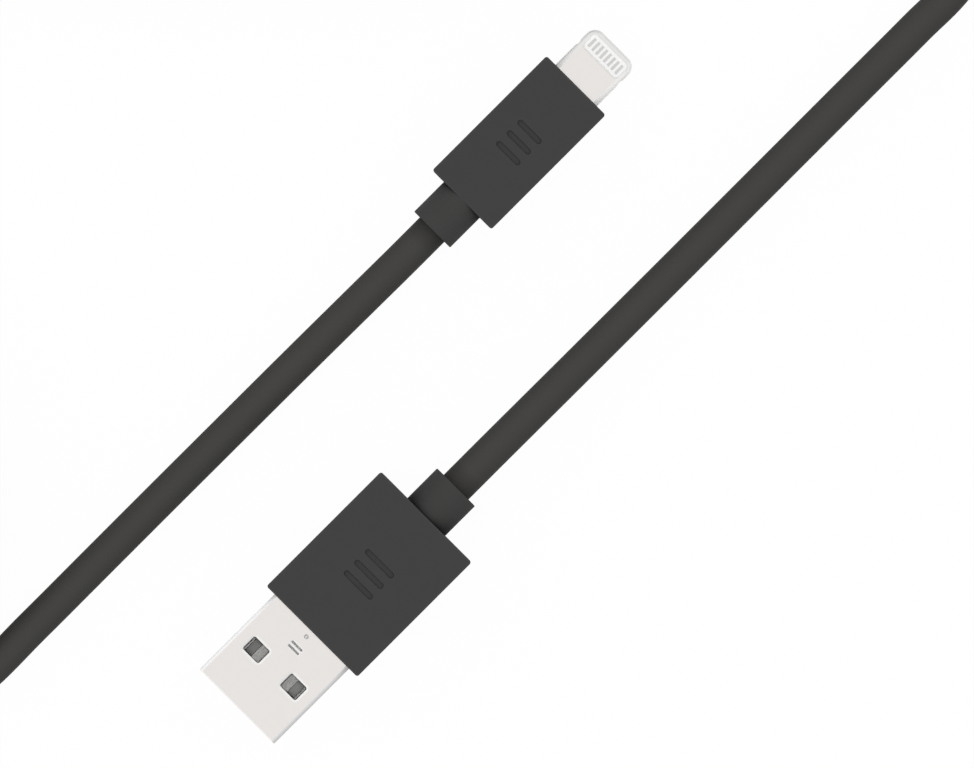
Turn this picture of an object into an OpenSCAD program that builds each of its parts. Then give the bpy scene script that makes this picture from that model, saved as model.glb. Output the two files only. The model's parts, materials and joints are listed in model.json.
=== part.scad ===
// Charging cable: a flat four-contact host plug, a thin eight-contact reversible device plug, and a
// round four-wire cable between them, laid out on a table with its spare length wound into a coil.
// Millimetres. +Z is up and the table is at z = 0. The origin is the middle of the underside of the
// host plug's housing. Both plugs lie along the diagonal of X and Y. Each plug is drawn along its own
// X axis, with its mating end towards +X and its cable leaving towards -X, and is then set in place.

/* [Cable] */
// Outside diameter of the cable's jacket
cable_d = 4; // [3.8:0.1:4.2]
// Wall thickness of the jacket
jacket_wall = 0.45; // [0.4:0.05:0.5]
// Thickness of the braided shield under the jacket
braid_thickness = 0.2; // [0.15:0.05:0.25]
// Diameter of one insulated wire
wire_d = 0.85; // [0.7:0.05:0.95]
// Gap between neighbouring wires in the cable
wire_gap = 0.1; // [0.06:0.01:0.14]
// Diameter of the bare copper at the end of each wire
copper_d = 0.45; // [0.3:0.05:0.55]
// Length of bare copper soldered down at each wire's end
copper_length = 1.6; // [1.2:0.1:1.8]
// Length that each wire runs straight at both ends of its fan
wire_straight = 0.5; // [0.4:0.05:0.6]
// Length of cable that leaves each collar in a straight line
lead_out = 5; // [4:0.5:6]
// Turns side by side in each layer of the stored coil
coil_columns = 2; // [1:1:3]
// Layers of turns in the stored coil
coil_layers = 2; // [1:1:3]
// Radius of the coil at the middle of its turns
coil_radius = 21.5; // [20:0.5:23]

/* [Housings] */
// Length of each plug's housing
housing_length = 18.4; // [18.2:0.1:19]
// Thickness of each housing's front wall
front_wall = 1.2; // [1:0.1:1.4]
// Corner radius of each housing seen from above
housing_corner = 0.3; // [0.2:0.05:0.5]
// Rounding of each housing's long and short edges
housing_edge = 0.25; // [0.15:0.05:0.4]
// Thickness of the flange that closes each housing at the back
flange_thickness = 1.5; // [1.2:0.1:1.6]
// Length of each collar outside its housing
collar_length = 4.8; // [4.4:0.1:5.4]
// Clearance between pieces that are pushed together, on each side
fit = 0.05; // [0.03:0.01:0.07]
// Depth of the grip grooves in the top of each housing
grip_depth = 0.25; // [0.15:0.05:0.35]
// Width of one grip groove
grip_width = 0.7; // [0.5:0.1:0.9]
// Distance between neighbouring grip grooves
grip_pitch = 1.7; // [1.3:0.1:2]
// Number of grip grooves in each housing
grip_count = 3; // [2:1:4]

/* [Host plug] */
// How far the host plug's housing stands out past the shell at each side
host_side_margin = 1.3; // [1.1:0.05:1.8]
// How far the host plug's housing stands out past the shell above and below
host_top_margin = 1.75; // [1.5:0.05:2.1]
// Side, top and bottom wall of the host plug's housing
host_wall = 0.8; // [0.6:0.05:0.85]
// Diameter of the host plug's collar
host_collar_d = 6.1; // [5.6:0.1:6.2]
// Length of the grip grooves across the host plug
host_grip_length = 4.4; // [3:0.2:6]
// Width of the metal shell
shell_width = 12; // [11.8:0.05:12.2]
// Height of the metal shell
shell_height = 4.5; // [4.4:0.05:4.6]
// Thickness of the shell's sheet
shell_sheet = 0.3; // [0.25:0.01:0.35]
// Outside radius of the shell's bends
shell_bend = 0.5; // [0.4:0.05:0.7]
// Length of shell that stands out of the housing
shell_exposed = 12.1; // [11.75:0.05:12.4]
// Length of shell inside the housing
shell_embedded = 6.2; // [6:0.1:6.4]
// Width of each latch window across the shell
window_width = 2.5; // [2.3:0.05:2.7]
// Length of each latch window along the shell
window_length = 2; // [1.8:0.05:2.2]
// Distance of the latch windows' centres from the shell's tip
window_from_tip = 6.15; // [5.9:0.05:6.4]
// Distance of the latch windows' centres from the shell's centre line
window_offset = 2.98; // [2.86:0.02:3.1]
// Distance of the stamped strap from the shell's tip
strap_from_tip = 9.45; // [9.25:0.05:9.65]
// Length across the shell of the two slits beside the strap
strap_length = 1.65; // [1.4:0.05:1.9]
// Width of each slit beside the strap
strap_slit = 0.28; // [0.22:0.01:0.32]
// Width of the strap between the two slits
strap_width = 0.3; // [0.26:0.02:0.36]
// Width of the seam where the sheet's ends meet under the shell
seam_gap = 0.06; // [0.04:0.01:0.1]
// Depth of the open mouth, from the shell's tip to the insulator's block
mouth_depth = 8.8; // [8.6:0.1:9]
// Thickness of the insulator's tongue
tongue_thickness = 1.8; // [1.7:0.02:1.86]
// Distance of the tongue's front edge behind the shell's tip
tongue_setback = 0.4; // [0.3:0.05:0.6]
// Distance of the insulator's back edge inside the back edge of the shell
block_setback = 1.4; // [1:0.1:1.8]
// Width of one host contact
host_contact_width = 1; // [0.9:0.05:1.1]
// Thickness of one host contact
host_contact_thickness = 0.25; // [0.2:0.01:0.28]
// Height of the host contacts above the tongue
host_contact_proud = 0.06; // [0.04:0.01:0.1]
// Distance of the outer pair of contacts from the centre line
outer_contact_offset = 3.4; // [3.3:0.05:3.5]
// Distance of the inner pair of contacts from the centre line
inner_contact_offset = 1; // [0.9:0.05:1.05]
// Distance of the longer outer contacts behind the shell's tip
outer_contact_setback = 1.4; // [1.2:0.1:1.7]
// Distance of the shorter inner contacts behind the shell's tip
inner_contact_setback = 2.4; // [2.2:0.1:2.8]
// Length of each contact's solder tail behind the insulator
tail_length = 3; // [2.6:0.1:3.2]
// Gap between the insulator and the rear shield that is tucked into the shell behind it
shield_gap = 0.2; // [0.1:0.05:0.3]
// Thickness of the host plug's rear shield
host_shield_sheet = 0.25; // [0.2:0.01:0.3]
// Distance from the flange to the host shield's crimp ring
host_crimp_setback = 2; // [1.8:0.1:2.2]

/* [Device plug] */
// How far the device plug's housing stands out past the blade's base at each side
device_side_margin = 1.05; // [0.95:0.05:1.4]
// How far the device plug's housing stands out past the shield above and below
device_top_margin = 1.1; // [0.9:0.05:1.4]
// Side, top and bottom wall of the device plug's housing
device_wall = 0.65; // [0.55:0.05:0.75]
// Length of the grip grooves across the device plug
device_grip_length = 3.6; // [2.6:0.2:5]
// Width of the blade
blade_width = 6.7; // [6.6:0.02:6.8]
// Thickness of the blade
blade_thickness = 1.5; // [1.46:0.01:1.54]
// Length of blade that stands out of the housing
blade_exposed = 6.4; // [6.2:0.05:6.7]
// Rounding of the blade's long edges
blade_edge = 0.6; // [0.45:0.05:0.65]
// Radius of the blade's corners seen from above
blade_corner = 1.3; // [1:0.05:1.5]
// Distance of the side detents from the blade's tip
detent_from_tip = 2.7; // [2.5:0.05:3]
// Radius of the side detents
detent_radius = 0.9; // [0.7:0.05:1]
// Depth of the side detents
detent_depth = 0.12; // [0.1:0.01:0.2]
// Width of the metal rim beside the window in the blade
rim_width = 0.67; // [0.6:0.01:0.75]
// Length of the window in the blade
insert_length = 2; // [1.9:0.05:2.1]
// Corner radius of the window in the blade
insert_corner = 0.45; // [0.3:0.05:0.6]
// Distance of the window's front edge from the blade's tip
insert_from_tip = 0.65; // [0.6:0.05:0.8]
// Number of contacts on each face of the blade
contact_count = 8; // [4:1:8]
// Distance of the outermost contacts from the sides of the window
contact_margin = 0.36; // [0.3:0.01:0.4]
// Width of one device contact
contact_width = 0.32; // [0.3:0.01:0.38]
// Length of one device contact's exposed pad
contact_length = 1.25; // [1.2:0.01:1.3]
// Thickness of a device contact
contact_thickness = 0.12; // [0.1:0.01:0.14]
// Height of the device contacts above the blade
contact_proud = 0.02; // [0.01:0.01:0.05]
// Clearance around each device contact in its carrier
contact_fit = 0.01; // [0.01:0.01:0.03]
// How much narrower the channel through the blade is than its window, at each side
channel_inset = 0.08; // [0.04:0.01:0.12]
// Height of the channel through the blade
channel_height = 0.98; // [0.96:0.01:1.02]
// How far the blade's base inside the housing stands out past the blade at each side
base_step = 0.35; // [0.25:0.05:0.5]
// Height of the blade's base inside the housing
base_height = 3.4; // [3.2:0.05:3.5]
// Length of the blade's base inside the housing
base_length = 1.4; // [1.2:0.05:1.6]
// Length of the two legs that hold the board
leg_length = 5; // [4.6:0.1:5.4]
// Thickness of each leg
leg_thickness = 0.4; // [0.35:0.01:0.42]
// Height of each leg
leg_height = 1.2; // [1:0.05:1.4]
// Thickness of the circuit board
board_thickness = 0.6; // [0.56:0.01:0.62]
// Distance from the blade's base to the circuit board
board_setback = 0.6; // [0.5:0.05:0.7]
// Length of each contact's tail on the board
board_tail = 1; // [0.8:0.05:1.1]
// Distance from the contacts' tails to the controller chip
chip_gap = 0.6; // [0.4:0.1:0.8]
// Size of the square controller chip
chip_size = 2.8; // [2.4:0.1:3]
// Height of the controller chip
chip_height = 0.8; // [0.6:0.05:0.9]
// Size of the square power chip under the board
power_chip_size = 2.2; // [2:0.1:2.6]
// Height of the power chip
power_chip_height = 0.6; // [0.5:0.05:0.7]
// Length of one capacitor
capacitor_length = 1; // [0.8:0.05:1.1]
// Width and height of one capacitor
capacitor_width = 0.5; // [0.4:0.05:0.55]
// Distance from the controller chip to the capacitors beside it
capacitor_gap = 0.3; // [0.2:0.05:0.5]
// Distance between neighbouring solder pads at the back of the board
pad_pitch = 1.3; // [1.2:0.02:1.36]
// Height of the device plug's shield
device_shield_height = 3.6; // [3.4:0.05:3.7]
// Thickness of the device plug's shield
device_shield_sheet = 0.2; // [0.15:0.01:0.24]
// Distance from the back of the board to the back of the shield
shield_behind_board = 2.6; // [2.3:0.05:2.9]
// Distance from the flange to the device shield's crimp ring
device_crimp_setback = 0.75; // [0.5:0.05:1]

/* [Shields] */
// Outside radius of each shield's bends
shield_bend = 0.5; // [0.4:0.05:0.6]
// Length of the ring that each shield crimps on the braid
crimp_length = 2; // [1.6:0.1:2.2]
// Thickness of the sheet of that ring
crimp_sheet = 0.25; // [0.2:0.01:0.3]
// Gap between the two halves of each shield
parting_gap = 0.06; // [0.04:0.01:0.1]

/* [Layout] */
// Place of the device plug to the right of the host plug
device_x = 17.06; // [16.6:0.02:17.6]
// Place of the device plug beyond the host plug
device_y = 49.14; // [48.6:0.02:49.6]

/* [Hidden] */
$fn = 48;

// Colours
housing_colour = "#424242";
jacket_colour = "#44433f";
nickel_colour = "#e7e4e1";
insulator_colour = "#f4f4f2";
contact_colour = "#cdcdcb";
steel_colour = "#b9bcbe";
mould_colour = "#d8d4c6";
copper_colour = "#b87345";

// Directions of the two plugs, and where they stand
along_host = 225;
along_device = 45;

// How far a cut runs past the piece that it cuts
over = 1;

// Sizes in the cable
braid_d = cable_d - 2 * jacket_wall;
core_d = braid_d - 2 * braid_thickness;
wire_pitch = wire_d + wire_gap;
ring_bore = braid_d + 2 * fit;
ring_d = ring_bore + 2 * crimp_sheet;

// Places along each plug's own axis
housing_front = housing_length / 2;
housing_back = -housing_length / 2;
cavity_front = housing_front - front_wall;
flange_front = housing_back + flange_thickness;
collar_end = housing_back - collar_length;
mould_front = cavity_front - fit;
mould_back = flange_front + fit;

// Host plug
host_width = shell_width + 2 * host_side_margin;
host_height = shell_height + 2 * host_top_margin;
host_axis_height = host_height / 2;
shell_tip = housing_front + shell_exposed;
shell_back = housing_front - shell_embedded;
shell_inner_width = shell_width - 2 * shell_sheet;
shell_inner_height = shell_height - 2 * shell_sheet;
shell_inner_bend = shell_bend - shell_sheet;
block_front = shell_tip - mouth_depth;
block_back = shell_back + block_setback;
tongue_front = shell_tip - tongue_setback;
tongue_bottom = -shell_inner_height / 2 + fit;
tongue_top = tongue_bottom + tongue_thickness;
contact_top = tongue_top + host_contact_proud;
contact_bottom = contact_top - host_contact_thickness;
strap_back = shell_tip - strap_from_tip - strap_width / 2 - strap_slit - fit;
strap_room = 2 * shell_sheet;
tail_back = block_back - tail_length;
host_shield_front = block_back - shield_gap;
host_shield_width = shell_inner_width - 2 * fit;
host_shield_height = shell_inner_height - 2 * fit;
host_shield_back = flange_front + host_crimp_setback + crimp_length;

// Device plug. Its collar is as thick as its housing is high.
base_width = blade_width + 2 * base_step;
device_shield_width = blade_width + 2 * fit + 2 * device_shield_sheet;
device_width = base_width + 2 * device_side_margin;
device_height = device_shield_height + 2 * device_top_margin;
device_axis_height = device_height / 2;
device_collar_d = device_height;
insert_width = blade_width - 2 * rim_width;
channel_width = insert_width - 2 * channel_inset;
contact_pitch = (insert_width - 2 * contact_margin - contact_width) / (contact_count - 1);
blade_tip = housing_front + blade_exposed;
insert_front = blade_tip - insert_from_tip;
insert_back = insert_front - insert_length;
insert_middle = (insert_front + insert_back) / 2;
base_front = cavity_front - fit;
base_back = base_front - base_length;
blade_root = base_back - blade_corner;
board_front = base_back - board_setback;
device_shield_back = flange_front + device_crimp_setback + crimp_length;
board_back = device_shield_back + shield_behind_board;
board_width = blade_width - 2 * leg_thickness - 2 * fit;
board_top = board_thickness / 2;
pad_front = insert_middle + contact_length / 2;
pad_back = insert_middle - contact_length / 2;
pad_top = blade_thickness / 2 + contact_proud;
device_tail_back = board_front - board_tail;
carrier_back = board_front + fit;
device_shield_front = base_back - fit;
chip_front = device_tail_back - chip_gap;
chip_back = chip_front - chip_size;
capacitor_offset = chip_size / 2 + capacitor_gap + capacitor_width / 2;

// Wires: each end runs straight in the cable, fans out sideways in the first share of its way, rises
// in the last share, and lies on its tail or pad
wire_sides = 10;
fan_steps = 6;
fan_share = 0.6;
host_contact_y = [outer_contact_offset, inner_contact_offset, -inner_contact_offset, -outer_contact_offset];
host_setback = [outer_contact_setback, inner_contact_setback, inner_contact_setback, outer_contact_setback];
host_copper_z = contact_top + copper_d / 2;
device_copper_z = board_top + copper_d / 2;
pad_y = [for (i = [0 : 3]) (1.5 - i) * pad_pitch];
core_place = [[1, 1], [1, -1], [-1, -1], [-1, 1]] * wire_pitch / 2;
wire_colours = ["#b3261e", "#e9e9e4", "#2f8f4e", "#222222"];

// The free cable, from each plug to the coil. Each point of a route is on the centre line: its place
// on the table, and its height above the centre line of a cable that lies on the table.
tube_sides = 12;
coil_middle = [-69, 9];
coil_outer = coil_radius + cable_d * coil_columns / 2 + cable_d / 4;
coil_inner = coil_radius - cable_d * coil_columns / 2 - cable_d / 4;
DEVICE_ROUTE = [
    [0.06, 32.2, 0.8], [-4.22, 27.99, 0.5], [-9.91, 22.37, 0.1], [-17, 15.32, 0], [-24.09, 8.26, 0],
    [-31.16, 1.19, 0], [-38.23, -5.88, 0], [-44.8, -12.3, 0], [-52.3, -17.6, 0], [-61, -20, 0],
    [-70.5, -19.5, 0], [-79.5, -16, 0], [-86.5, -10, 0], [-91.5, -1.5, 0], [-93.5, 9, 0]
];
HOST_ROUTE = [
    [16.98, 16.96, 1.7], [21.95, 21.89, 1.1], [28.33, 28.24, 0.3], [35.41, 35.3, 0], [42.13, 42.02, 0],
    [49.2, 49.09, 0], [56.27, 56.16, 0], [62.28, 62.17, 0], [67.1, 67.1, 0], [70.5, 72.5, 0],
    [72, 79, 0], [71, 85, 0], [67.5, 90, 0], [62.5, 93.5, 0], [56, 94.5, 0], [48, 94, 0], [40, 91, 0],
    [33, 86, 0], [26, 79.5, 0], [19, 73.5, 0], [10, 69.5, 0], [0, 68, 0], [-10, 68, 0], [-20, 68, 0],
    [-32, 68, 0], [-44, 68, 0], [-56, 68, 0], [-68, 68, 0], [-78.5, 67, 0], [-86, 62.5, 0],
    [-91.5, 55, 0], [-93.5, 46, 0], [-93.5, 37, 0.2], [-93.5, 29, 1.2], [-93.5, 21, 2.8],
    [-93.5, 14, 3.8], [-93.5, 9, 4]
];

function unit(v) = v / norm(v);
function heading(angle) = [cos(angle), sin(angle), 0];
function on_table(route) = [for (p = route) p + [0, 0, cable_d / 2]];
function tangent(path, i) =
    i == 0 ? unit(path[1] - path[0])
    : i == len(path) - 1 ? unit(path[i] - path[i - 1])
    : unit(unit(path[i + 1] - path[i]) + unit(path[i] - path[i - 1]));
function side_of(t) = unit(cross(t, [0, 0, 1]));
function ring(path, i, r, n) =
    let (t = tangent(path, i), a = side_of(t), b = cross(a, t))
    [for (k = [0 : n - 1]) path[i] + r * (a * cos(360 * k / n) + b * sin(360 * k / n))];

// A smooth step from 0 to 1 as t goes from 0 to 1
function eased(t) = let (s = min(1, max(0, t))) s * s * (3 - 2 * s);

// A tube along a path, with a ring of points at each point of the path and a flat cap at each end
module tube(path, d, n = tube_sides) {
    last = (len(path) - 1) * n;
    polyhedron(
        points = [for (i = [0 : len(path) - 1]) each ring(path, i, d / 2, n)],
        faces = concat(
            [[for (k = [0 : n - 1]) n - 1 - k]],
            [[for (k = [0 : n - 1]) last + k]],
            [for (i = [0 : len(path) - 2], k = [0 : n - 1])
                [i * n + k, i * n + (k + 1) % n, (i + 1) * n + (k + 1) % n, (i + 1) * n + k]]
        )
    );
}

module rounded_rectangle(x, y, r) {
    square([x - 2 * r, y], center = true);
    square([x, y - 2 * r], center = true);
    for (sx = [-1, 1], sy = [-1, 1])
        translate([sx * (x / 2 - r), sy * (y / 2 - r)]) circle(r);
}

// A bar along X from x0 to x1 whose section is a rounded rectangle, w across and h high
module bar(x0, x1, w, h, r) {
    translate([x0, 0, 0]) rotate([90, 0, 90]) linear_extrude(x1 - x0) rounded_rectangle(w, h, r);
}

// A plain block along X from x0 to x1, centred on the axis in Y, from z0 to z1
module block(x0, x1, w, z0, z1) {
    translate([x0, -w / 2, z0]) cube([x1 - x0, w, z1 - z0]);
}

// A round rod along X from x0 to x1
module rod(x0, x1, d) {
    translate([x0, 0, 0]) rotate([0, 90, 0]) cylinder(d = d, h = x1 - x0);
}

module at_host() {
    translate([0, 0, host_axis_height]) rotate([0, 0, along_host]) children();
}

module at_device() {
    translate([device_x, device_y, device_axis_height]) rotate([0, 0, along_device]) children();
}

// ---- Pieces that both plugs have ----

// A box with a rounded plan and softly rounded long and short edges
module softened_box(w, h) {
    intersection() {
        translate([0, 0, -h / 2]) linear_extrude(h) rounded_rectangle(housing_length, w, housing_corner);
        bar(housing_back, housing_front, w, h, housing_edge);
        translate([0, w / 2, 0]) rotate([90, 0, 0])
            linear_extrude(w) rounded_rectangle(housing_length, h, housing_edge);
    }
}

// Shallow round-ended grooves across the top of a housing, where a finger pulls
module grip_grooves(across, h) {
    for (i = [0 : grip_count - 1])
        translate([(i - (grip_count - 1) / 2) * grip_pitch, 0, h / 2 - grip_depth]) linear_extrude(over) {
            square([grip_width, across - grip_width], center = true);
            for (side = [-1, 1]) translate([0, side * (across - grip_width) / 2]) circle(d = grip_width);
        }
}

// The outer sleeve: closed in front round the metal plug, open at the back
module housing(w, h, wall, mouth_w, mouth_h, mouth_r, grip) {
    difference() {
        softened_box(w, h);
        block(housing_back - over, cavity_front, w - 2 * wall, wall - h / 2, h / 2 - wall);
        bar(cavity_front - over, housing_front + over, mouth_w + 2 * fit, mouth_h + 2 * fit, mouth_r + fit);
        grip_grooves(grip, h);
    }
}

// The flange that closes the sleeve at the back, with the round collar that the cable leaves by
module strain_relief(w, h, wall, collar_d) {
    difference() {
        union() {
            block(housing_back, flange_front, w - 2 * (wall + fit), wall + fit - h / 2, h / 2 - wall - fit);
            rod(collar_end, housing_back, collar_d);
        }
        rod(collar_end - over, flange_front + over, cable_d + fit);
    }
}

// One half of a sheet-metal shield: up is 1 for the cover, -1 for the tray that carries the crimp ring
module shield_half(x0, x1, w, h, sheet, up) {
    difference() {
        union() {
            intersection() {
                difference() {
                    bar(x0, x1, w, h, shield_bend);
                    bar(x0 + sheet, x1 + over, w - 2 * sheet, h - 2 * sheet, shield_bend - sheet);
                }
                translate([0, 0, up * (h + parting_gap) / 2])
                    block(x0 - over, x1 + over, w + over, -h / 2, h / 2);
            }
            if (up < 0) rod(x0 - crimp_length, x0, ring_d);
        }
        rod(x0 - crimp_length - over, x0 + sheet + over, ring_bore);
    }
}

// The end of the jacket inside the collar
module jacket_end() {
    difference() {
        rod(collar_end, flange_front, cable_d);
        rod(collar_end - over, flange_front + over, braid_d + fit);
    }
}

// The braid, from the collar's end to just inside the shield
module braid_end(shield_back) {
    difference() {
        rod(collar_end, shield_back + wire_straight, braid_d);
        rod(collar_end - over, shield_back + wire_straight + over, core_d);
    }
}

// One insulated wire: i counts from 0 to 3, and y and z are the place of its copper. It runs straight
// in the braid, swings out to its place between the end of the braid and its stripped end, and stops.
module insulated_wire(i, y, z, shield_back, strip_end) {
    start = [shield_back + wire_straight, core_place[i][0], core_place[i][1]];
    span = [strip_end - wire_straight, y, z] - start;
    swing = [for (k = [0 : fan_steps])
        let (t = k / fan_steps, across = eased(t / fan_share), up = eased(1 - (1 - t) / fan_share))
        start + [span[0] * t, span[1] * across, span[2] * up]];
    tube(concat([[collar_end, start[1], start[2]]], swing, [[strip_end, y, z]]), wire_d, wire_sides);
}

// ---- Host plug ----

module host_shell() {
    color(nickel_colour) at_host() difference() {
        bar(shell_back, shell_tip, shell_width, shell_height, shell_bend);
        bar(shell_back - over, shell_tip + over, shell_inner_width, shell_inner_height, shell_inner_bend);
        for (side = [-1, 1])
            translate([shell_tip - window_from_tip, side * window_offset, 0])
                cube([window_length, window_width, shell_height + over], center = true);
        translate([shell_tip - strap_from_tip, 0, shell_height / 2])
            for (side = [-1, 1])
                translate([side * (strap_width + strap_slit) / 2, 0, 0])
                    cube([strap_slit, strap_length, 3 * shell_sheet], center = true);
        translate([(shell_back + shell_tip) / 2, 0, -shell_height / 2])
            cube([shell_tip - shell_back + over, seam_gap, 3 * shell_sheet], center = true);
    }
}

module host_contact_bar(i, grow) {
    nose = shell_tip - host_setback[i];
    top = contact_top + grow;
    bottom = contact_bottom - grow;
    translate([0, host_contact_y[i] + host_contact_width / 2 + grow, 0]) rotate([90, 0, 0])
        linear_extrude(host_contact_width + 2 * grow) polygon([
            [tail_back - grow, bottom], [nose + grow, bottom],
            [nose + grow, bottom + host_contact_thickness / 2],
            [nose - host_contact_thickness, top], [tail_back - grow, top]
        ]);
}

module host_insulator() {
    color(insulator_colour) at_host() difference() {
        union() {
            bar(block_back, block_front, shell_inner_width - 2 * fit, shell_inner_height - 2 * fit,
                shell_inner_bend);
            block(block_front - over, tongue_front, shell_inner_width - 2 * shell_bend,
                tongue_bottom, tongue_top);
        }
        for (i = [0 : 3]) host_contact_bar(i, fit / 2);
        for (i = [0 : 3])
            translate([0, host_contact_y[i], 0])
                block(block_front, shell_tip - host_setback[i] + fit / 2, host_contact_width + fit,
                    contact_bottom - fit / 2, contact_top + over);
        // Room under the strap, so that it can be pressed in
        block(strap_back, block_front + over, strap_length + 2 * fit,
            shell_inner_height / 2 - strap_room, shell_height / 2);
    }
}

module host_contact_power() {
    color(contact_colour) at_host() host_contact_bar(0, 0);
}

module host_contact_data_minus() {
    color(contact_colour) at_host() host_contact_bar(1, 0);
}

module host_contact_data_plus() {
    color(contact_colour) at_host() host_contact_bar(2, 0);
}

module host_contact_ground() {
    color(contact_colour) at_host() host_contact_bar(3, 0);
}

module host_shield(up) {
    color(steel_colour) at_host()
        shield_half(host_shield_back, host_shield_front, host_shield_width, host_shield_height,
            host_shield_sheet, up);
}

module host_shield_upper() {
    host_shield(1);
}

module host_shield_lower() {
    host_shield(-1);
}

module host_inner_mould() {
    inner_w = host_width - 2 * host_wall - 2 * fit;
    inner_h = host_height - 2 * host_wall - 2 * fit;
    color(mould_colour) at_host() difference() {
        block(mould_back, mould_front, inner_w, -inner_h / 2, inner_h / 2);
        bar(shell_back - fit, mould_front + over, shell_width + 2 * fit, shell_height + 2 * fit,
            shell_bend);
        block(host_shield_back - fit, shell_back, host_shield_width + 2 * fit,
            -host_shield_height / 2 - fit, host_shield_height / 2 + fit);
        rod(mould_back - over, host_shield_back, ring_d + 2 * fit);
    }
}

module host_housing() {
    color(housing_colour) at_host()
        housing(host_width, host_height, host_wall, shell_width, shell_height, shell_bend,
            host_grip_length);
}

module host_strain_relief() {
    color(housing_colour) at_host() strain_relief(host_width, host_height, host_wall, host_collar_d);
}

module host_wire(i) {
    color(wire_colours[i]) at_host()
        insulated_wire(i, host_contact_y[i], host_copper_z, host_shield_back, tail_back - fit);
}

module host_wire_red() {
    host_wire(0);
}

module host_wire_white() {
    host_wire(1);
}

module host_wire_green() {
    host_wire(2);
}

module host_wire_black() {
    host_wire(3);
}

// The bare copper of each wire lies on its contact's tail
module host_wire_copper() {
    color(copper_colour) at_host()
        for (y = host_contact_y)
            translate([0, y, host_copper_z]) rod(tail_back - fit, tail_back + copper_length, copper_d);
}

module host_braid_end() {
    color(steel_colour) at_host() braid_end(host_shield_back);
}

module host_jacket_end() {
    color(jacket_colour) at_host() jacket_end();
}

// ---- Device plug ----

module device_blade() {
    color(nickel_colour) at_device() difference() {
        union() {
            intersection() {
                translate([(blade_root + blade_tip) / 2, 0, -blade_thickness / 2])
                    linear_extrude(blade_thickness)
                        rounded_rectangle(blade_tip - blade_root, blade_width, blade_corner);
                bar(base_front - fit, blade_tip, blade_width, blade_thickness, blade_edge);
            }
            block(base_back, base_front, base_width, -base_height / 2, base_height / 2);
            for (side = [-1, 1])
                translate([0, side * (blade_width - leg_thickness) / 2, 0])
                    block(base_back - leg_length, base_back, leg_thickness,
                        -leg_height / 2, leg_height / 2);
        }
        translate([insert_middle, 0, -blade_thickness])
            linear_extrude(2 * blade_thickness)
                rounded_rectangle(insert_length, insert_width, insert_corner);
        block(base_back - over, insert_middle, channel_width, -channel_height / 2, channel_height / 2);
        for (side = [-1, 1])
            translate([blade_tip - detent_from_tip, 0, 0])
                translate([0, side * (blade_width / 2 + detent_radius - detent_depth), 0])
                    cylinder(r = detent_radius, h = 2 * blade_thickness, center = true);
    }
}

// One bent contact: an exposed pad, a short leg down, and a tail that runs back to the board
module device_contact(y, grow) {
    pad_bottom = pad_top - contact_thickness - grow;
    tail_bottom = board_top - grow;
    tail_top = board_top + contact_thickness + grow;
    translate([0, y + contact_width / 2 + grow, 0]) rotate([90, 0, 0])
        linear_extrude(contact_width + 2 * grow) polygon([
            [device_tail_back, tail_bottom], [pad_back + contact_thickness + grow, tail_bottom],
            [pad_back + contact_thickness + grow, pad_bottom], [pad_front + grow, pad_bottom],
            [pad_front + grow, pad_top + grow], [pad_back - grow, pad_top + grow],
            [pad_back - grow, tail_top], [device_tail_back, tail_top]
        ]);
}

module device_contact_row(grow) {
    for (i = [0 : contact_count - 1]) device_contact((i - (contact_count - 1) / 2) * contact_pitch, grow);
}

module device_contact_carrier() {
    half = channel_height / 2 - contact_fit;
    color(insulator_colour) at_device() difference() {
        union() {
            block(carrier_back, insert_middle, channel_width - 2 * contact_fit, -half, half);
            translate([insert_middle, 0, -blade_thickness / 2])
                linear_extrude(blade_thickness)
                    rounded_rectangle(insert_length - 2 * contact_fit, insert_width - 2 * contact_fit,
                        insert_corner);
        }
        device_contact_row(contact_fit);
        mirror([0, 0, 1]) device_contact_row(contact_fit);
    }
}

module device_contacts_upper() {
    color(contact_colour) at_device() device_contact_row(0);
}

module device_contacts_lower() {
    color(contact_colour) at_device() mirror([0, 0, 1]) device_contact_row(0);
}

module device_board() {
    color("#1f6b45") at_device() block(board_back, board_front, board_width, -board_top, board_top);
}

module device_controller_chip() {
    color("#26282a") at_device()
        block(chip_back, chip_front, chip_size, board_top, board_top + chip_height);
}

module device_power_chip() {
    color("#26282a") at_device()
        block(chip_front - power_chip_size, chip_front, power_chip_size,
            -board_top - power_chip_height, -board_top);
}

module device_capacitors() {
    color("#b59a6d") at_device()
        for (side = [-1, 1], z = [board_top, -board_top - capacitor_width])
            translate([0, side * capacitor_offset, 0])
                block(chip_front - capacitor_length, chip_front, capacitor_width, z, z + capacitor_width);
}

module device_shield(up) {
    color(steel_colour) at_device()
        shield_half(device_shield_back, device_shield_front, device_shield_width, device_shield_height,
            device_shield_sheet, up);
}

module device_shield_upper() {
    device_shield(1);
}

module device_shield_lower() {
    device_shield(-1);
}

module device_inner_mould() {
    inner_w = device_width - 2 * device_wall - 2 * fit;
    inner_h = device_height - 2 * device_wall - 2 * fit;
    color(mould_colour) at_device() difference() {
        block(mould_back, mould_front, inner_w, -inner_h / 2, inner_h / 2);
        block(base_back - fit, mould_front + over, base_width + 2 * fit,
            -base_height / 2 - fit, base_height / 2 + fit);
        block(device_shield_back - fit, base_back, device_shield_width + 2 * fit,
            -device_shield_height / 2 - fit, device_shield_height / 2 + fit);
        rod(mould_back - over, device_shield_back, ring_d + 2 * fit);
    }
}

module device_housing() {
    color(housing_colour) at_device()
        housing(device_width, device_height, device_wall, blade_width, blade_thickness, blade_edge,
            device_grip_length);
}

module device_strain_relief() {
    color(housing_colour) at_device()
        strain_relief(device_width, device_height, device_wall, device_collar_d);
}

module device_wire(i) {
    color(wire_colours[i]) at_device()
        insulated_wire(i, pad_y[i], device_copper_z, device_shield_back, board_back - fit);
}

module device_wire_red() {
    device_wire(0);
}

module device_wire_white() {
    device_wire(1);
}

module device_wire_green() {
    device_wire(2);
}

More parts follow.
